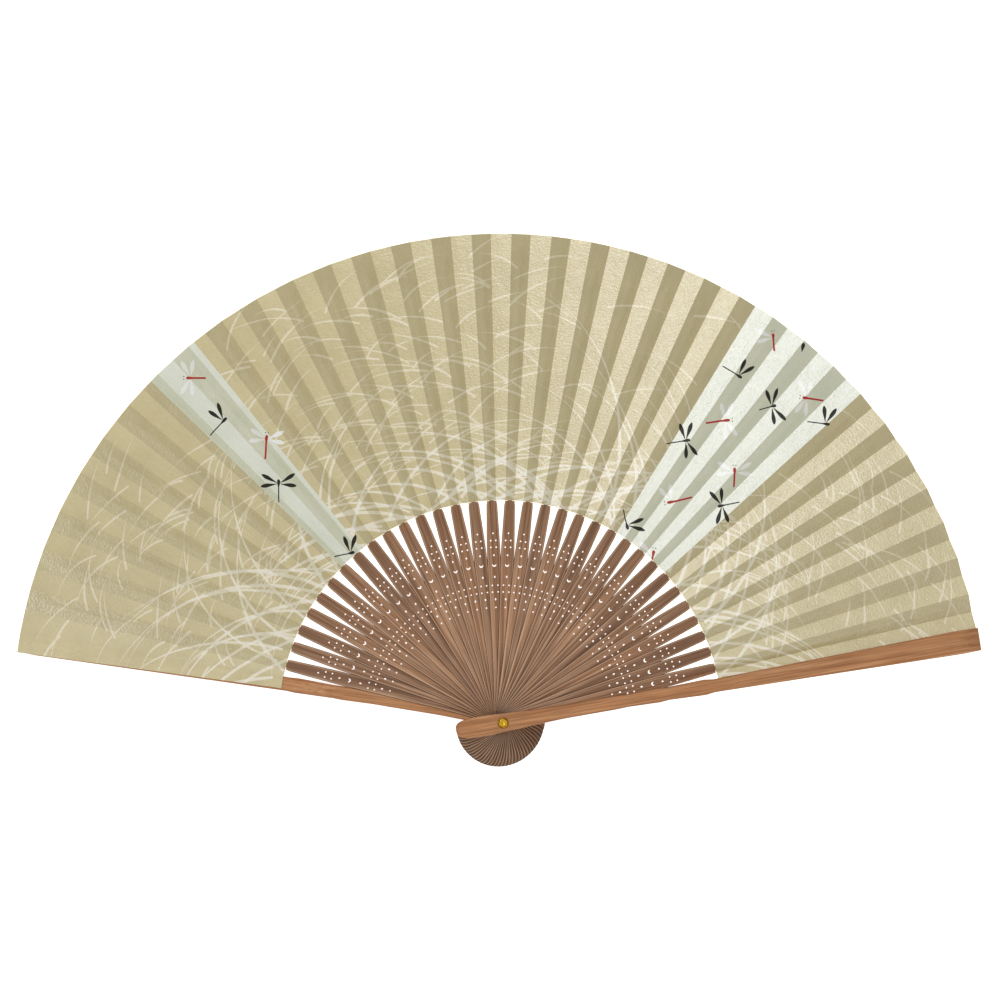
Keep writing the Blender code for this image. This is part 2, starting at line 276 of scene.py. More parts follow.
def paper(name, colour, shade, fibre_strength, backed_shade=(0.78, 0.765, 0.67), roughness=0.42, pearl=1.0):
    """Paper with a pearly coat, short fibres and faint clouds. Its UV is the flat sheet in metres.

    Where a stick lies behind it, its colour is multiplied darker: painted shade standing in for the light
    that comes through the paper from behind elsewhere.
    """
    paint = Paint(name, roughness, specular=pearl)
    paint.shader.inputs["IOR"].default_value = 2.0
    flat = paint.place("UV")
    clouds = paint.noise(flat, 60.0, 3.0, 0.5)
    fibres = paint.noise(paint.place("UV", scale=(1500, 420, 1)), 1.0, 4.0, 0.7, 1.5)
    speckle = paint.noise(flat, 2600.0, 2.0, 0.7)
    made = paint.ramp(clouds, (0.3, shade), (0.62, colour))
    fine = paint.ramp(fibres, (0.25, (0.86, 0.86, 0.84)), (0.5, (1, 1, 1)), (0.75, (1.06, 1.06, 1.05)))
    made = paint.mix(fibre_strength, made, fine, "MULTIPLY")
    dots = paint.ramp(speckle, (0.3, (0.9, 0.9, 0.89)), (0.6, (1.03, 1.03, 1.03)))
    made = paint.mix(fibre_strength, made, dots, "MULTIPLY")
    # pleat faces with a stick behind are painted darker, as shade in place of light through the paper
    backed = paint.node("ShaderNodeAttribute", attribute_name="backed").outputs["Fac"]
    paint.colour(paint.mix(backed, made, backed_shade, "MULTIPLY"))
    paint.rough(fibres, roughness - 0.05, roughness + 0.08)
    creased = paint.noise(paint.place("UV", scale=(260, 80, 1)), 1.0, 3.0, 0.6)
    shimmer = paint.noise(flat, 1100.0, 2.0, 0.6)
    paint.bump(paint.mix(0.3, creased, shimmer), 0.0007, 1.0)
    return paint.material


def ink(name, colour, roughness):
    """Printed ink that lets a little of the paper's fibre show."""
    paint = Paint(name, roughness, specular=0.3)
    fibres = paint.noise(paint.place("UV", scale=(1500, 420, 1)), 1.0, 3.0, 0.7, 1.0)
    worn = tuple(min(1.0, c * 1.5 + 0.012) for c in colour)
    paint.colour(paint.ramp(fibres, (0.35, colour), (0.75, worn)))
    paint.rough(fibres, roughness - 0.08, roughness + 0.1)
    paint.bump(fibres, 0.00002, 0.4)
    return paint.material


def brass(name, colour, tarnish, roughness):
    """Brass, polished on its faces, with fine scratches and specks of tarnish."""
    paint = Paint(name, roughness, metallic=1.0)
    specks = paint.noise(paint.place(), 900.0, 3.0, 0.6)
    scratches = paint.noise(paint.place(scale=(9000, 9000, 40000)), 1.0, 2.0)
    paint.colour(paint.ramp(specks, (0.35, tarnish), (0.6, colour)))
    paint.rough(specks, roughness - 0.08, roughness + 0.15)
    paint.bump(scratches, 0.00001, 0.4)
    return paint.material


# Flat plates: the ribs and the guards


def circle(x, y, radius, steps=12, stretch=1.0):
    turns = [2 * math.pi * step / steps for step in range(steps)]
    return [(x + radius * stretch * math.cos(t), y + radius * math.sin(t)) for t in turns]


def crescent(x, radius, steps=9):
    """A crescent hole whose horns point away from the rivet."""
    horn = math.radians(CRESCENT_HORN)
    horn_x, horn_y = radius * math.cos(horn), radius * math.sin(horn)
    points = [
        (x + radius * math.cos(t), radius * math.sin(t))
        for t in np.linspace(horn, 2 * math.pi - horn, 2 * steps)
    ]
    for share in np.linspace(-1, 1, steps)[1:-1]:
        points.append((x + horn_x - CRESCENT_BITE * radius * (1 - share * share), horn_y * share))
    return points


def cut_face(outline, loops, rows):
    """Cuts a flat outline into triangles along loops and rows.

    Returns the places, the triangles, and for each triangle the set of loops that hold it, where 0 is
    the outline.
    """
    points, edges, rings = [], [], []
    for loop in (outline, *loops):
        first = len(points)
        points += loop
        ring = list(range(first, len(points)))
        rings.append(ring)
        edges += zip(ring, ring[1:] + ring[:1])
    for row in rows:
        first = len(points)
        points += row
        edges += [(i, i + 1) for i in range(first, len(points) - 1)]
    points = [Vector(p) / MM for p in points]
    places, _, faces, _, _, holders = delaunay_2d_cdt(points, edges, rings, 0, CUT_NEAR)
    kept = [(face, set(held)) for face, held in zip(faces, holders) if 0 in held]
    return np.array([p[:] for p in places]) * MM, [k[0] for k in kept], [k[1] for k in kept]


def rim_edges(faces):
    """The directed edges that only one triangle uses."""
    edges = {(a, b) for face in faces for a, b in zip(face, (*face[1:], face[0]))}
    return [(a, b) for a, b in edges if (b, a) not in edges]


def plate_mesh(name, outline, holes, rows, bores, heights, rim_at):
    """A closed plate whose lower and upper surfaces are at heights(x, y).

    bores is the rivet's hole, as (radius, z) from low to high.
    """
    mesh = bmesh.new()
    rim = mesh.verts.layers.float.new("rim")
    corners, borders = [], []
    for side, radius in ((0, bores[0][0]), (1, bores[-1][0])):
        places, faces, holders = cut_face(outline, [circle(0, 0, radius, BORE_STEPS), *holes], rows)
        faces = [face for face, held in zip(faces, holders) if held == {0}]
        found = {}
        for index in {i for face in faces for i in face}:
            x, y = places[index]
            found[index] = mesh.verts.new((x, y, heights(x, y)[side]))
            found[index][rim] = rim_at(x, y)
        for face in faces:
            mesh.faces.new([found[i] for i in face])
        key = {i: (round(places[i][0] / MM, 3), round(places[i][1] / MM, 3)) for i in found}
        corners.append({key[i]: vert for i, vert in found.items()})
        borders.append([(key[a], key[b]) for a, b in rim_edges(faces)])
    low, high = corners
    for a, b in borders[1]:
        if math.hypot(*a) > bores[-1][0] / MM + 0.01:
            mesh.faces.new([low[a], low[b], high[b], high[a]])
    rings = []
    for level, (radius, z) in enumerate(bores):
        ring = circle(0, 0, radius, BORE_STEPS)
        if level in (0, len(bores) - 1):
            ends = low if level == 0 else high
            rings.append([ends[nearest(ends, x / MM, y / MM)] for x, y in ring])
        else:
            rings.append([mesh.verts.new((x, y, z)) for x, y in ring])
    for lower, upper in zip(rings, rings[1:]):
        for i in range(BORE_STEPS):
            j = (i + 1) % BORE_STEPS
            mesh.faces.new([lower[i], upper[i], upper[j], lower[j]])
    bmesh.ops.recalc_face_normals(mesh, faces=mesh.faces)
    return finished(mesh, name)


def nearest(corners, x, y):
    return min(corners, key=lambda c: (c[0] - x) ** 2 + (c[1] - y) ** 2)


def finished(mesh, name, sharp_degrees=32):
    data = bpy.data.meshes.new(name)
    mesh.to_mesh(data)
    mesh.free()
    data.shade_smooth()
    data.set_sharp_from_angle(angle=math.radians(sharp_degrees))
    return data


def inner_rows(stick, places, depths):
    """Lines that follow a stick's sides.

    Each depth is (distance from the side in millimetres, its largest share of half the width).
    """
    rows = []
    for depth, share in depths:
        row = [(x, stick.half(x) - min(depth * MM, share * stick.half(x))) for x in places]
        rows += [row, [(x, -y) for x, y in row]]
    return rows


def mirrored(left, heel):
    """A closed outline from the points of its left side, heel first."""
    right = [(x, -y) for x, y in left]
    return [(-heel, 0.0), *right, *reversed(left)]


RIB_HALF_THICK = 0.19 * MM
RIB_EDGE_HALF = 0.07 * MM
RIB_ROUNDING = 1.3 * MM
TONGUE_HALF_THICK = 0.13 * MM
TONGUE_ROOT_HALF = 1.0 * MM
TONGUE_RAMP = 0.5 * MM  # the rib thins to its tongue over this length
SHOULDER_ROUND = 0.4 * MM
RIM_DEPTHS = (0.0, 0.12, 0.35, 0.75)  # from the edge, in millimetres
RIM_TONES = (1.0, 0.8, -0.8, 0.0)  # 1 is the darkest edge line, partly stain and partly painted shadow; -1 the palest painted highlight of the rounded edge
RIB_ROWS = ((0.12, 0.12), (0.35, 0.3), (0.75, 0.55))  # (millimetres from the side, largest share)
RIB_SWELL = 2.4  # a higher power makes a rib flatter on top and rounder at its sides

HOLE_RADIUS = 0.35 * MM
# (distance from the rivet, distance to each side of the middle, stretch along the rib), in millimetres
PIERCINGS = (
    (80.3, 0.0, 1.0),
    (77.2, 1.1, 1.0),
    (74.3, 1.15, 1.0),
    (70.9, 0.0, 1.25),
    (61.6, 0.0, 1.45),
    (58.0, 1.2, 1.0),
    (55.1, 1.2, 1.0),
    (52.0, 0.0, 1.45),
    (48.5, 0.0, 1.0),
)
CRESCENT_AT = 66.75 * MM
CRESCENT_RADIUS = 0.86 * MM
CRESCENT_BITE = 0.75  # how deep its inner side is, as a share of the radius
CRESCENT_HORN = 62  # degrees from straight outwards to each horn


def twist_slope(x):
    """A rib lies flat at the rivet and as steep as its pleat at the leaf."""
    return FOLD_SLOPE * float(smooth((x - TWIST_START) / (TWIST_END - TWIST_START)))


def rib_mesh():
    stick = Stick(1)
    shoulder = max(x for x, half in stick.stations if half > TONGUE_ROOT_HALF + 0.1 * MM)
    corner_half = stick.half(shoulder - SHOULDER_ROUND)
    tongue = [(x, half) for x, half in stick.stations if x > shoulder]
    places = stick.heel_places() + list(np.arange(-6, 70, 4) * MM) + list(np.arange(70, 95, 1.6) * MM)
    left = [(x, stick.half(x)) for x in places]
    for turn in np.linspace(0, math.pi / 2, 5):
        x = shoulder - SHOULDER_ROUND * (1 - math.sin(turn))
        left.append((x, corner_half - SHOULDER_ROUND * (1 - math.cos(turn))))
    left += [(shoulder, TONGUE_ROOT_HALF), *tongue]
    holes = [crescent(CRESCENT_AT, CRESCENT_RADIUS)]
    for distance, aside, stretch in PIERCINGS:
        for side in (1, -1) if aside else (1,):
            holes.append(circle(distance * MM, aside * side * MM, HOLE_RADIUS, 12, stretch))

    def depth_at(x, y):
        if x > shoulder + 0.01 * MM:
            return RIB_ROUNDING
        return stick.half(min(x, shoulder - SHOULDER_ROUND)) - abs(y)

    def heights(x, y):
        share = min(max(depth_at(x, y) / RIB_ROUNDING, 0.0), 1.0)
        swell = RIB_EDGE_HALF + (RIB_HALF_THICK - RIB_EDGE_HALF) * (1 - (1 - share) ** RIB_SWELL)
        root = min(max((x - shoulder) / TONGUE_RAMP + 1, 0.0), 1.0)
        swell += (TONGUE_HALF_THICK - swell) * root
        lift = y * twist_slope(x)
        return lift - swell, lift + swell

    def rim_at(x, y):
        return float(np.interp(max(depth_at(x, y), 0.0) / MM, RIM_DEPTHS, RIM_TONES))

    rows = inner_rows(stick, places[1:], RIB_ROWS)
    bores = [(BORE_RADIUS, -RIB_HALF_THICK), (BORE_RADIUS, RIB_HALF_THICK)]
    return plate_mesh("rib", mirrored(left, stick.heel), holes, rows, bores, heights, rim_at)


GUARD_ROUNDING = 0.5 * MM
GUARD_ROWS = ((0.04, 0.05), (0.14, 0.14), (0.3, 0.28), (0.5, 0.45))
GUARD_EDGE_DROP = 0.9  # how much of a full quarter round its edges have
# how far a guard's rounded edge is painted darker, as painted shade
GUARD_EDGE_TONE = 0.35
REAR_TIP_SHORT = 1.2 * MM
GUARD_LEAF_THICK = 1.1 * MM
GUARD_RAMP_START = 70.0 * MM
GUARD_RAMP_END = 90.0 * MM


def guard_mesh(name, number):
    stick = Stick(number)
    low_z, high_z = (corner.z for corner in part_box(stick_node(number)))
    places = stick.heel_places() + list(np.arange(-6, 66, 6) * MM)
    places += list(np.arange(68, 94, 2) * MM) + list(np.arange(96, 203, 8) * MM)
    (corner, corner_half), (tip, _) = stick.stations[-2:]
    if number == 0:  # the leaf hides the rear guard's tip
        corner -= REAR_TIP_SHORT
        tip -= REAR_TIP_SHORT
    left = [(x, stick.half(x)) for x in places]
    for turn in np.linspace(0, math.pi / 2, 6):
        x = corner + (tip - corner) * math.sin(turn)
        left.append((x, corner_half - (tip - corner) * (1 - math.cos(turn))))

    def heights(x, y):
        depth = min(stick.half(x) - abs(y), tip - x)
        short = max(GUARD_ROUNDING - max(depth, 0.0), 0.0)
        drop = GUARD_ROUNDING - math.sqrt(GUARD_ROUNDING**2 - short**2)
        ramp = (x - GUARD_RAMP_START) / (GUARD_RAMP_END - GUARD_RAMP_START)
        thin = (high_z - low_z - GUARD_LEAF_THICK) * float(smooth(ramp)) * 0.999
        low = low_z + (thin if number else 0.0)
        high = high_z - (0.0 if number else thin)
        return low + GUARD_EDGE_DROP * drop, high - GUARD_EDGE_DROP * drop

    # darkens the colour towards a guard's side: painted shade on its rounded edge
    def rim_at(x, y):
        return GUARD_EDGE_TONE * min(max(1 - (stick.half(x) - abs(y)) / GUARD_ROUNDING, 0.0), 1.0)

    rows = inner_rows(stick, places[1:], GUARD_ROWS)
    bores = [(BORE_RADIUS, low_z), (BORE_RADIUS, high_z)]
    if number == 0:  # the rivet's lower head sits in a recess
        deep = low_z + RECESS_DEPTH
        bores = [(RECESS_RADIUS, low_z), (RECESS_RADIUS, deep), (BORE_RADIUS, deep), (BORE_RADIUS, high_z)]
    return plate_mesh(name, mirrored(left, stick.heel), [], rows, bores, heights, rim_at)


def add(name, data, material, body, node_names, azimuth=0.0, z=0.0):
    """An object that rides on a body and stands for its CAD nodes."""
    data.materials.clear()
    data.materials.append(material)
    made = bpy.data.objects.new(name, data)
    made.rotation_euler = (0.0, 0.0, azimuth)
    made.location = (0.0, 0.0, z)
    bpy.context.scene.collection.objects.link(made)
    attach(made, body)
    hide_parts(*node_names)


def build_sticks():
    stained = bamboo("stained_bamboo", srgb(118, 84, 60), srgb(170, 130, 101), srgb(214, 176, 144),
                     srgb(60, 42, 31), 0.9, 0.5)
    pale = bamboo("pale_bamboo", srgb(166, 110, 68), srgb(196, 140, 96), srgb(216, 166, 122),
                  srgb(124, 82, 52), 0.2, 0.0)
    data = rib_mesh()
    for number in range(1, LAST):
        node = stick_node(number)
        add(f"bamboo_{node}", data, stained, node, [node], AZIMUTH[number],
            float(MIDDLES[number][2]))
    for number in (0, LAST):
        node = stick_node(number)
        add(f"bamboo_{node}", guard_mesh(node, number), pale, node, [node], AZIMUTH[number])


# The rivet


def lathe(name, profile, steps=64):
    """A solid turned about +Z. A profile point with no radius closes an end."""
    mesh = bmesh.new()
    rings = [
        [mesh.verts.new((x, y, z)) for x, y in circle(0, 0, radius, steps if radius else 1)]
        for radius, z in profile
    ]
    pairs = list(zip(rings, rings[1:]))
    if len(rings[0]) > 1:
        pairs.append((rings[-1], rings[0]))
    for lower, upper in pairs:
        for i in range(steps):
            j = (i + 1) % steps
            ends = [(lower, i), (lower, j), (upper, j), (upper, i)]
            mesh.faces.new(list(dict.fromkeys(ring[k % len(ring)] for ring, k in ends)))
    bmesh.ops.recalc_face_normals(mesh, faces=mesh.faces)
    return finished(mesh, name, 40)


def rounded_rim(radius, low, high, rounding, steps=5):
    """The outer side of a disc, from its lower edge to its upper one, with both edges rounded."""
    points = []
    for centre, start in ((low + rounding, -math.pi / 2), (high - rounding, 0.0)):
        for turn in np.linspace(start, start + math.pi / 2, steps):
            x, z = rounding * math.cos(turn), rounding * math.sin(turn)
            points.append((radius - rounding + x, centre + z))
    return points


def build_rivet():
    gold = brass("polished_brass", srgb(250, 204, 66), srgb(214, 160, 40), 0.24)
    dull = brass("dull_brass", srgb(190, 146, 52), srgb(128, 88, 28), 0.4)
    pin_low, pin_high = (corner.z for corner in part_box("rivet_pin"))
    head_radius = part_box("rivet_pin")[1].x
    pin_radius = 1.15 * MM
    head_thick = 0.55 * MM
    dimple_depth = 0.25 * MM
    dimple_radius = 0.75 * MM
    profile = [(0, pin_low), *rounded_rim(head_radius, pin_low, pin_low + head_thick, 0.12 * MM)]
    profile += [(pin_radius, pin_low + head_thick), (pin_radius, pin_high - head_thick)]
    profile += rounded_rim(head_radius, pin_high - head_thick, pin_high - 0.12 * MM, 0.16 * MM)
    for turn in np.linspace(0, 1, 7):
        profile.append((dimple_radius + (head_radius - 0.35 * MM - dimple_radius) * (1 - turn),
                        pin_high - 0.12 * MM * (1 - smooth(turn))))
    for share in np.linspace(0.85, 0.15, 5):
        profile.append((dimple_radius * share, pin_high - dimple_depth * (1 - share**2)))
    profile.append((0, pin_high - dimple_depth))
    add("brass_rivet", lathe("brass_rivet", profile), gold, "rear_guard", ["rivet_pin"])
    for node in ("rivet_washer_rear", "rivet_washer_front"):
        low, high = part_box(node)
        ring = [(BORE_RADIUS, high.z), (BORE_RADIUS, low.z), *rounded_rim(high.x, low.z, high.z, 0.12 * MM)]
        add(f"brass_{node}", lathe(node, ring), dull, "rear_guard", [node])


# The leaf's pleats

PAPER_THICK = 0.145 * MM
PAPER_GAP = 0.01 * MM  # between the two papers of the leaf
TONGUE_LIFT = 0.16 * MM  # how far a tongue raises the paper over it
TONGUE_SIDE = 0.10 * MM  # how much wider a ridge is than its tongue, on each side
RIDGE_FOOT = 0.55 * MM  # how wide the slope beside a ridge is
TONGUE_END_HALF = 0.6 * MM
TONGUE_START = 94.2 * MM
TONGUE_END = 198.0 * MM
RIDGE_END = 2.0 * MM
LEAF_INNER = float(LEAF_REACH.min())
LEAF_OUTER = float(LEAF_REACH.max())
LEAF_SHARP = 28  # degrees between faces that shade as a crease
ALONG_STEP = 6.0 * MM
WAVE_HEIGHT = 0.10 * MM
WAVE_SCALE = 28  # waves of the paper for each metre
BOW_HEIGHT = 0.16 * MM  # how far a pleat face bows between its creases
BOW_MEAN = 0.35


def creases():
    """Each crease as (direction x, direction y, z at the rivet, rise for each metre outwards)."""
    made = []
    for number in range(LAST + 1):
        first, last = max(number - 1, 0), min(number + 1, LAST)
        half = (AZIMUTH[first] - AZIMUTH[last]) / (last - first) / 4
        slope = FOLD_SLOPE if 0 < number < LAST else 0.0
        z = float(MIDDLES[number][2])
        if number == 0:
            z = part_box(LEAF_NODES[0])[0].z + PAPER_THICK
        elif number == LAST:
            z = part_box(LEAF_NODES[-1])[1].z - PAPER_THICK
        cos, sin = math.cos(AZIMUTH[number]), math.sin(AZIMUTH[number])
        for aside in (math.tan(half), -math.tan(half)):
            made.append((cos - aside * sin, sin + aside * cos, z, slope * aside))
    return np.array(made)


CREASES = creases()
CREASE_AZIMUTH = np.arctan2(CREASES[:, 1], CREASES[:, 0])


def tongue_half(distance):
    share = (distance - TONGUE_START) / (TONGUE_END - TONGUE_START)
    return TONGUE_ROOT_HALF + (TONGUE_END_HALF - TONGUE_ROOT_HALF) * share


def folded(places):
    """Where points of the leaf seen from above lie on its pleats: (facet, share across it, distance out)."""
    azimuth = np.arctan2(places[:, 1], places[:, 0])
    facet = np.clip(np.searchsorted(-CREASE_AZIMUTH, -azimuth, side="right") - 1, 0, len(CREASES) - 2)
    left, right = CREASES[facet], CREASES[facet + 1]
    off_left = places[:, 0] * left[:, 1] - places[:, 1] * left[:, 0]
    off_right = places[:, 0] * right[:, 1] - places[:, 1] * right[:, 0]
    share = np.clip(off_left / (off_left - off_right), 0.0, 1.0)
    across = left[:, :2] + share[:, None] * (right[:, :2] - left[:, :2])
    return facet, share, np.hypot(*places.T) / np.hypot(*across.T)


def leaf_surface(places):
    """(middle z, the lift of the ridges over the tongues, how far each point turns with the fold)."""
    facet, share, out = folded(places)
    left, right = CREASES[facet], CREASES[facet + 1]
    z = (1 - share) * (left[:, 2] + out * left[:, 3]) + share * (right[:, 2] + out * right[:, 3])
    number = facet // 2
    on_stick = facet % 2 == 0
    azimuth = np.array(AZIMUTH)[number]
    aside = np.abs(places[:, 1] * np.cos(azimuth) - places[:, 0] * np.sin(azimuth))
    ridge = 1 - smooth((aside - tongue_half(out) - TONGUE_SIDE) / RIDGE_FOOT)
    ridge *= on_stick * (number > 0) * (number < LAST) * (1 - smooth((out - TONGUE_END) / RIDGE_END))
    follow = np.array(FOLLOW)
    nearby = np.minimum(number + 1, LAST)
    turn = np.where(on_stick, follow[number], (1 - share) * follow[number] + share * follow[nearby])
    wave = np.array([noise.noise(Vector((x, y, 0.0)) * WAVE_SCALE) for x, y in places])
    bow = np.array([noise.noise(Vector((f * 3.7, r * 16, 5.0))) for f, r in zip(facet, out)])
    inner = (number > 0) & (facet < len(CREASES) - 2)
    z = z + inner * (WAVE_HEIGHT * wave + BOW_HEIGHT * np.sin(math.pi * share) * (BOW_MEAN + bow))
    return z, ridge * TONGUE_LIFT, turn


def crease_point(index, distance):
    return (distance * CREASES[index][0], distance * CREASES[index][1])


def leaf_outline():
    inner = [crease_point(i, LEAF_INNER) for i in range(len(CREASES))]
    outer = [crease_point(i, LEAF_OUTER) for i in range(len(CREASES))]
    return [*inner, *reversed(outer)]


def leaf_rows():
    """Edges along each crease, each ridge over a tongue, and down the middle of each free pleat face."""
    count = round((LEAF_OUTER - LEAF_INNER) / ALONG_STEP)
    distances = np.linspace(LEAF_INNER, LEAF_OUTER, count + 1)
    rows = []
    for index in range(1, len(CREASES) - 1):
        rows.append([crease_point(index, r) for r in distances])
    for index in range(1, len(CREASES) - 1, 2):
        for share in (0.33, 0.67):
            across = CREASES[index][:2] * (1 - share) + CREASES[index + 1][:2] * share
            rows.append([(r * across[0], r * across[1]) for r in distances[1:-1]])
    for number in range(1, LAST):
        cos, sin = math.cos(AZIMUTH[number]), math.sin(AZIMUTH[number])
        for side in (1, -1):
            for extra in (TONGUE_SIDE, TONGUE_SIDE + RIDGE_FOOT):
                row = []
                for r in distances[1:-1]:
                    aside = side * (tongue_half(r) + extra)
                    row.append((r * cos - aside * sin, r * sin + aside * cos))
                rows.append(row)
    return rows


# The print

SEED = 20
FAINT_BLADES = 420
BARE = (36, 84, 128 * MM)  # between these azimuths, little grass grows from beyond this distance
LEFT_BAND = (135.6, 128.8)
RIGHT_BAND = (47, 54)  # its first and last crease

# (azimuth, distance of the head, heading, length of the body, wings: 1 left, -1 right, 0 both),
# in degrees and millimetres
BLACK_DRAGONFLIES = (
    (54.8, 179.2, -32, 9.6, 1),
    (48.7, 179.2, 14, 7.7, 0),
    (41.9, 189.4, -7, 9.3, 1),
    (56.0, 144.8, 10, 10.3, 0),
    (44.5, 130.4, -168, 9.4, 0),
    (56.4, 98.2, -77, 8.8, 1),
    (131.9, 174.7, 48, 10.3, 1),
    (132.4, 140.3, 91, 9.9, 0),
    (130.7, 95.4, 13, 8.8, 1),
)
RED_DRAGONFLIES = (
    (54.8, 202.5, 96, 7.7, 1),
    (46.9, 189.1, 171, 9.7, 0),
    (52.6, 161.7, 7, 10.5, 0),
    (47.2, 147.3, 89, 8.4, 0),
    (52.6, 117.2, -168, 11.1, -1),
    (48.0, 97.9, 77, 7.0, 1),
    (132.3, 198.7, 179, 8.4, 0),
    (129.1, 157.8, 86, 10.2, 0),
)
LONE_WING = (50.7, 203.6 * MM)  # of a dragonfly that the leaf's edge cuts off
LONE_WING_HEADING = 78
LONE_WING_LENGTH = 4 * MM


def polar(azimuth, distance):
    turn = math.radians(azimuth)
    return Vector((distance * math.cos(turn), distance * math.sin(turn)))


def stroke(root, heading, length, widths, steps=10):
    """The outline of a stroke that starts at root.

    heading maps (share along the stroke, place) to a direction, and widths maps the share to a width.
    """
    left, right = [], []
    place = Vector(root)
    for step in range(steps + 1):
        share = step / steps
        turn = heading(share, place)
        ahead = Vector((math.cos(turn), math.sin(turn)))
        if step:
            place = place + ahead * (length / steps)
        half = Vector((-ahead.y, ahead.x)) * (widths(share) / 2)
        left.append(tuple(place + half))
        right.append(tuple(place - half))
    return [*right, *reversed(left)]


def wing_width(share):
    """A teardrop, thin at the body and round at its outer end."""
    return (0.3 + 1.4 * math.sin(math.pi * min(share, 1.0) ** 1.7) ** 0.8) * MM


def pale_wing_width(share):
    return (0.3 + 1.6 * math.sin(math.pi * min(share, 1.0) ** 1.6) ** 0.8) * MM


def body_width(share):
    """A thin tail that thickens to the chest and narrows at the head."""
    return (0.5 + 0.85 * float(smooth((share - 0.66) / 0.2)) - head_taper(share)) * MM


def red_body_width(share):
    return (0.8 + 0.5 * float(smooth((share - 0.7) / 0.2)) - head_taper(share)) * MM


def head_taper(share):
    return 0.6 * float(smooth((share - 0.94) / 0.06))


WINGS = ((60, 8.2), (98, 7.7))  # (degrees from the heading, reach from the chest in millimetres)
WING_ROOT = 0.9  # millimetres from the middle of the chest
CHEST_BACK = 1.9 * MM  # from the head
FEELER_AHEAD = 1.0 * MM
FEELER_ASIDE = 0.6 * MM
FEELER_RADIUS = 0.26 * MM


def dragonfly(azimuth, distance, heading, length, wings, width_of, body_of):
    """(body, wings, feelers) as outlines."""
    head = polar(azimuth, distance * MM)
    turn = math.radians(heading)
    ahead = Vector((math.cos(turn), math.sin(turn)))
    length *= MM
    body = stroke(head - ahead * length, lambda share, place: turn, length, body_of, 12)
    chest = head - ahead * CHEST_BACK
    made = []
    for side in (1, -1) if wings == 0 else (wings,):
        for lean, reach in WINGS:
            away = turn + side * math.radians(lean)
            root = chest + Vector((math.cos(away), math.sin(away))) * WING_ROOT * MM
            made.append(stroke(root, lambda share, place, a=away: a, (reach - WING_ROOT) * MM, width_of))
    feelers = []
    for side in (1, -1):
        spot = head + ahead * FEELER_AHEAD + Vector((-ahead.y, ahead.x)) * side * FEELER_ASIDE
        feelers.append(circle(*spot, FEELER_RADIUS, 6))
    return body, made, feelers


def blade(azimuth, distance, lean, droop, length, width):
    """A blade of grass that leans from straight outwards and droops to the given angle at its tip."""
    def width_at(share):
        return width * (0.5 + 0.5 * math.sin(math.pi * min(1.0, share + 0.3))) * (1.04 - share**3)

    def heading(share, place):
        return math.atan2(place.y, place.x) + math.radians(lean + (droop - lean) * share**1.2)

    return stroke(polar(azimuth, distance), heading, length, width_at, 18)


# Each kind of blade: (lean, droop, length), as ranges in degrees and millimetres
ARCHING = ((38, 66), (88, 108), (54, 96))
LEANING = ((2, 42), (52, 86), (56, 108))
SHORT = ((38, 74), (74, 106), (13, 34))
BRIGHT_WIDTHS = (0.9, 1.5)  # these and the next three are ranges in millimetres
FAINT_WIDTHS = (0.65, 1.05)
BRIGHT_ROOTS = (88, 99)
FAINT_ROOTS = (108, 199)
BRIGHT_SPAN = (10.5, 170.0, 1.7)  # first azimuth, last and step
FAINT_SPAN = (10.5, 169.5)
ARCHES = (66, 134)  # between these azimuths the bright blades arch over
SCATTER = 0.9  # how far a bright blade's azimuth may stray from its place, in degrees
LEFT_OUT = 0.8  # the share of the faint blades that the bare part loses


def drawn_shape(chance, side, kind, widths):
    """(lean, droop, length, width) for a blade that bends to one side, drawn at random."""
    lean, droop = (side * chance.uniform(*span) for span in kind[:2])
    length = chance.uniform(*kind[2]) * MM
    return lean, droop, length, chance.uniform(*widths) * MM


def grass():
    """(bright blades, faint blades) as outlines."""
    chance = random.Random(SEED)
    bright, faint = [], []
    for azimuth in np.arange(*BRIGHT_SPAN):
        side = chance.choice((1, -1))
        root = chance.uniform(*BRIGHT_ROOTS) * MM
        kind = ARCHING if ARCHES[0] < azimuth < ARCHES[1] else LEANING
        shape = drawn_shape(chance, side, kind, BRIGHT_WIDTHS)
        bright.append(blade(azimuth + chance.uniform(-SCATTER, SCATTER), root, *shape))
    for _ in range(FAINT_BLADES):
        azimuth = chance.uniform(*FAINT_SPAN)
        root = chance.uniform(*FAINT_ROOTS) * MM
        shape = drawn_shape(chance, chance.choice((1, -1)), SHORT, FAINT_WIDTHS)
        if BARE[0] < azimuth < BARE[1] and root > BARE[2] and chance.random() < LEFT_OUT:
            continue
        faint.append(blade(azimuth, root, *shape))
    return bright, faint


def band_outline(first, last):
    """A pale band between two azimuths, a little longer than the leaf is wide."""
    reach = (LEAF_INNER - 5 * MM, LEAF_OUTER + 5 * MM)
    turns = np.linspace(first, last, 3)
    inner = [tuple(polar(turn, reach[0])) for turn in turns]
    outer = [tuple(polar(turn, reach[1])) for turn in turns]
    return [*inner, *reversed(outer)]


KHAKI, PALE, BRIGHT, FAINT, CROSSED, BLACK, RED, WING, BACK = range(9)


def paper_materials():
    """The leaf's materials, in the order of the numbers above."""
    return [
        paper("khaki_paper", srgb(216, 200, 142), srgb(206, 189, 130), 0.8),
        paper("pale_paper", srgb(234, 238, 222), srgb(226, 231, 212), 0.5, (0.8, 0.78, 0.66)),
        paper("bright_grass", srgb(249, 240, 215), srgb(243, 233, 205), 0.5),
        paper("faint_grass", srgb(242, 231, 197), srgb(236, 224, 187), 0.6),
        paper("crossed_grass", srgb(253, 249, 234), srgb(249, 243, 225), 0.4),
        ink("black_ink", srgb(30, 29, 22), 0.5),
        ink("red_ink", srgb(164, 40, 36), 0.5),
        paper("pale_wing", srgb(250, 252, 248), srgb(244, 247, 242), 0.3, (0.9, 0.89, 0.86)),
        paper("back_paper", srgb(218, 203, 145), srgb(208, 192, 133), 0.8, (1, 1, 1), 0.55, 0.4),
    ]


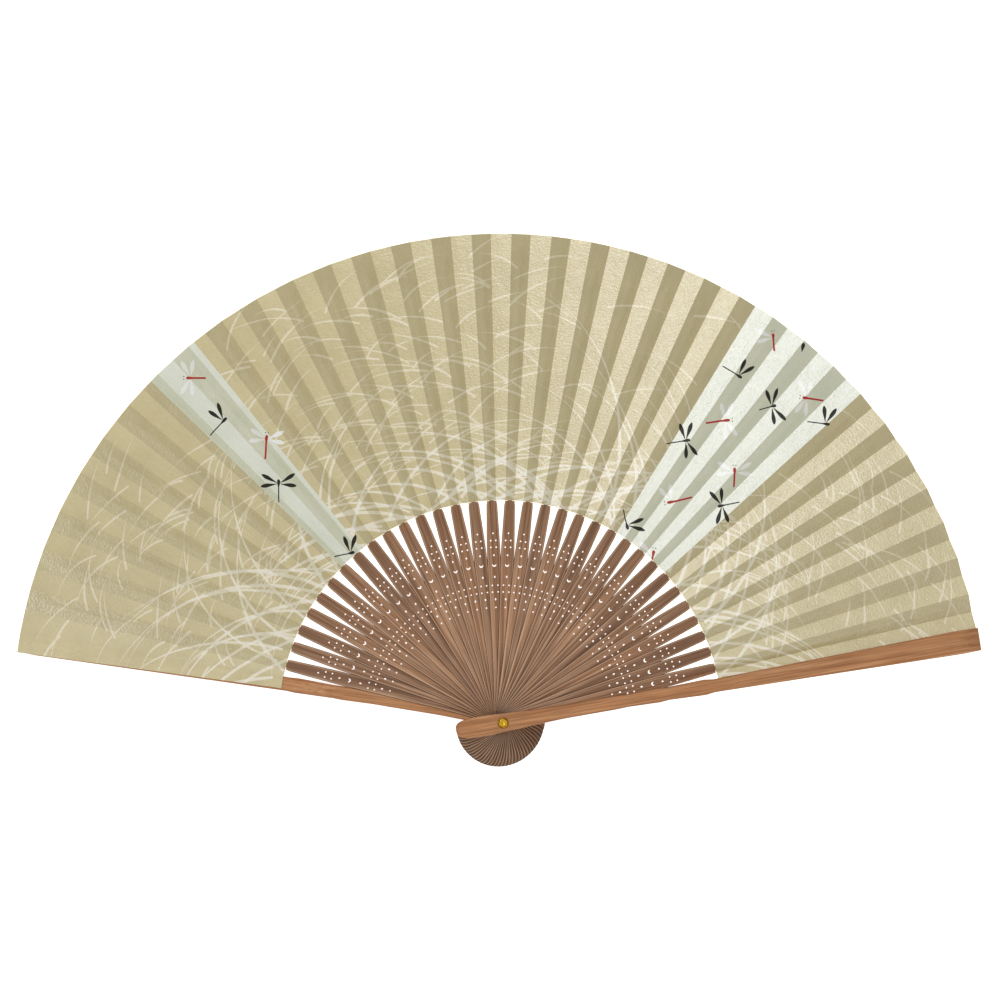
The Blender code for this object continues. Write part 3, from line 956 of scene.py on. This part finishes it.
def printed():
    """The front paper cut along its pleats and its print: places, triangles and each one's paper."""
    bright, faint = grass()
    loops, kinds = [band_outline(*LEFT_BAND)], ["band"]
    for outlines, kind in ((bright, "bright"), (faint, "faint")):
        loops += outlines
        kinds += [kind] * len(outlines)
    heading = math.radians(LONE_WING_HEADING)
    loops.append(stroke(polar(*LONE_WING), lambda share, place: heading, LONE_WING_LENGTH, wing_width))
    kinds.append("black")
    for flies, kind, width_of, body_of, wing in (
        (BLACK_DRAGONFLIES, "black", wing_width, body_width, "black"),
        (RED_DRAGONFLIES, "red", pale_wing_width, red_body_width, "wing"),
    ):
        for fly in flies:
            body, wings, feelers = dragonfly(*fly, width_of, body_of)
            loops += [body, *wings]
            kinds += [kind] + [wing] * len(wings)
            if kind == "red":
                loops += feelers
                kinds += ["black"] * len(feelers)
    places, faces, holders = cut_face(leaf_outline(), loops, leaf_rows())
    middles = places[np.array(faces)].mean(axis=1)
    facets = folded(middles)[0]
    chosen = []
    for held, facet in zip(holders, facets):
        found = [kinds[i - 1] for i in held if i]
        if "black" in found:
            chosen.append(BLACK)
        elif "red" in found:
            chosen.append(RED)
        elif "wing" in found:
            chosen.append(WING)
        elif "band" in found or RIGHT_BAND[0] <= facet < RIGHT_BAND[1]:
            chosen.append(PALE)
        elif found.count("bright") > 1:
            chosen.append(CROSSED)
        elif "bright" in found:
            chosen.append(BRIGHT)
        else:
            chosen.append(FAINT if found else KHAKI)
    return places, faces, chosen


def build_paper(name, places, faces, chosen, is_front, materials):
    """One of the two papers of the leaf, a closed sheet that follows the pleats."""
    # Print that reaches past the leaf leaves points that no triangle uses.
    kept, faces = np.unique(np.array(faces), return_inverse=True)
    faces = faces.reshape(-1, 3)
    places = places[kept]
    middle, ridge, turn = leaf_surface(places)
    side = 1 if is_front else -1
    near = middle + side * (PAPER_GAP / 2 + ridge)
    far = near + side * PAPER_THICK
    low, high = (near, far) if is_front else (far, near)
    count = len(places)
    points = np.concatenate([np.column_stack([places, low]), np.column_stack([places, high])])
    rim = np.array(rim_edges(faces.tolist()))
    walls = np.column_stack([rim[:, 0], rim[:, 1], rim[:, 1] + count, rim[:, 0] + count])
    sides = [*faces[:, ::-1].tolist(), *(faces + count).tolist(), *walls.tolist()]
    data = bpy.data.meshes.new(name)
    data.from_pydata(points.tolist(), [], sides)
    for material in materials:
        data.materials.append(material)
    used = [BACK] * len(faces) + list(chosen) + [BACK] * len(walls)
    data.polygons.foreach_set("material_index", used)
    # backed marks the pleat faces with a stick behind them, which the paper paints darker as shade
    facets = folded(places[faces].mean(axis=1))[0]
    backed = ((facets % 2 == 0) & (facets > 0)).astype(np.float32)
    share = np.concatenate([backed, backed, np.zeros(len(walls), np.float32)])
    data.attributes.new("backed", "FLOAT", "FACE").data.foreach_set("value", share)
    corners = np.zeros(len(data.loops), int)
    data.loops.foreach_get("vertex_index", corners)
    azimuth = np.arctan2(points[:, 1], points[:, 0])
    flat = np.column_stack([azimuth * (LEAF_INNER + LEAF_OUTER) / 2, np.hypot(points[:, 0], points[:, 1])])
    data.uv_layers.new(name="flat").data.foreach_set("uv", flat[corners].ravel())
    data.shade_smooth()
    data.set_sharp_from_angle(angle=math.radians(LEAF_SHARP))
    made = bpy.data.objects.new(name, data)
    bpy.context.scene.collection.objects.link(made)
    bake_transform(made, "rear_guard", "front_guard", tuple(points[0]), tuple(points[count - 1]))
    weights = np.concatenate([turn, turn]).astype(np.float32)
    data.attributes["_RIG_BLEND"].data.foreach_set("value", weights)
    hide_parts(*LEAF_NODES)
    area = 0.5 * (LEAF_OUTER**2 - LEAF_INNER**2) * flat_angle()


def flat_angle():
    """The angle that the leaf covers once its pleats are laid flat."""
    rays = [Vector((x, y, rise)) for x, y, _, rise in CREASES]
    return sum(left.angle(right) for left, right in zip(rays, rays[1:]))


def build_leaf():
    materials = paper_materials()
    places, faces, chosen = printed()
    build_paper("leaf_front_paper", places, faces, chosen, True, materials)
    places, faces, _ = cut_face(leaf_outline(), [], leaf_rows())
    build_paper("leaf_back_paper", places, faces, [BACK] * len(faces), False, materials)


# The stage

VIEW_CENTRE = Vector((0.84 * MM, 93.8 * MM, 0.0))
VIEW_WIDTH = 0.42954
VIEW_FROM = Vector((-0.095, 0.0608, 1.0)).normalized()
CAMERA_DISTANCE = 2.0
SENSOR = 36.0
FLOOR_RADIUS = 3.0
FLOOR_DROP = 0.2 * MM
FLOOR_GLOW = 0.85
WORLD_STRENGTH = 0.54
# (name, azimuth, elevation, distance, size, power)
LIGHTS = (
    ("key", 148, 50, 1.5, 0.35, 3.2),
    ("second_key", 122, 50, 1.5, 0.35, 3.2),
    ("low_fill", 278, 35, 1.6, 0.8, 2.2),
)


def looking_from(away):
    """The rotation of a camera or a light that looks back along away, with +Y upwards."""
    right = Vector((0.0, 1.0, 0.0)).cross(away).normalized()
    return Matrix((right, away.cross(right), away)).transposed().to_quaternion()


def build_floor(scene):
    mesh = bmesh.new()
    bmesh.ops.create_circle(mesh, cap_ends=True, segments=96, radius=FLOOR_RADIUS)
    floor = bpy.data.objects.new("floor", finished(mesh, "floor"))
    floor.location.z = -FLOOR_DROP
    scene.collection.objects.link(floor)
    paint = Paint("pale_floor", 0.8, specular=0.1)
    grain = paint.noise(paint.place(), 40.0)
    paint.colour(paint.ramp(grain, (0.4, (0.8, 0.8, 0.8)), (0.6, (0.82, 0.82, 0.82))))
    paint.shader.inputs["Emission Color"].default_value = (1.0, 1.0, 1.0, 1.0)
    paint.shader.inputs["Emission Strength"].default_value = FLOOR_GLOW
    floor.data.materials.append(paint.material)


def build_light(scene, name, azimuth, elevation, distance, size, power):
    light = bpy.data.lights.new(name, "AREA")
    light.shape = "DISK"
    light.size = size
    light.energy = power
    lamp = bpy.data.objects.new(name, light)
    turn, rise = math.radians(azimuth), math.radians(elevation)
    away = Vector((math.cos(turn) * math.cos(rise), math.sin(turn) * math.cos(rise), math.sin(rise)))
    lamp.location = VIEW_CENTRE + away * distance
    lamp.rotation_mode = "QUATERNION"
    lamp.rotation_quaternion = looking_from(away)
    scene.collection.objects.link(lamp)


def build_world(scene):
    world = bpy.data.worlds.new("studio")
    world.use_nodes = True
    background = world.node_tree.nodes["Background"]
    background.inputs["Color"].default_value = (1.0, 0.99, 0.97, 1.0)
    background.inputs["Strength"].default_value = WORLD_STRENGTH
    scene.world = world


def build_camera(scene):
    lens = bpy.data.cameras.new("camera")
    lens.sensor_width = SENSOR
    lens.lens = SENSOR * CAMERA_DISTANCE / VIEW_WIDTH
    lens.clip_start = 0.05
    lens.clip_end = 20.0
    camera = bpy.data.objects.new("camera", lens)
    camera.location = VIEW_CENTRE + VIEW_FROM * CAMERA_DISTANCE
    camera.rotation_mode = "QUATERNION"
    camera.rotation_quaternion = looking_from(VIEW_FROM)
    scene.collection.objects.link(camera)
    scene.camera = camera


def build_stage():
    scene = bpy.context.scene
    scene.view_settings.view_transform = "Standard"
    build_floor(scene)
    build_world(scene)
    for light in LIGHTS:
        build_light(scene, *light)
    build_camera(scene)


build_sticks()
build_rivet()
build_leaf()
build_stage()
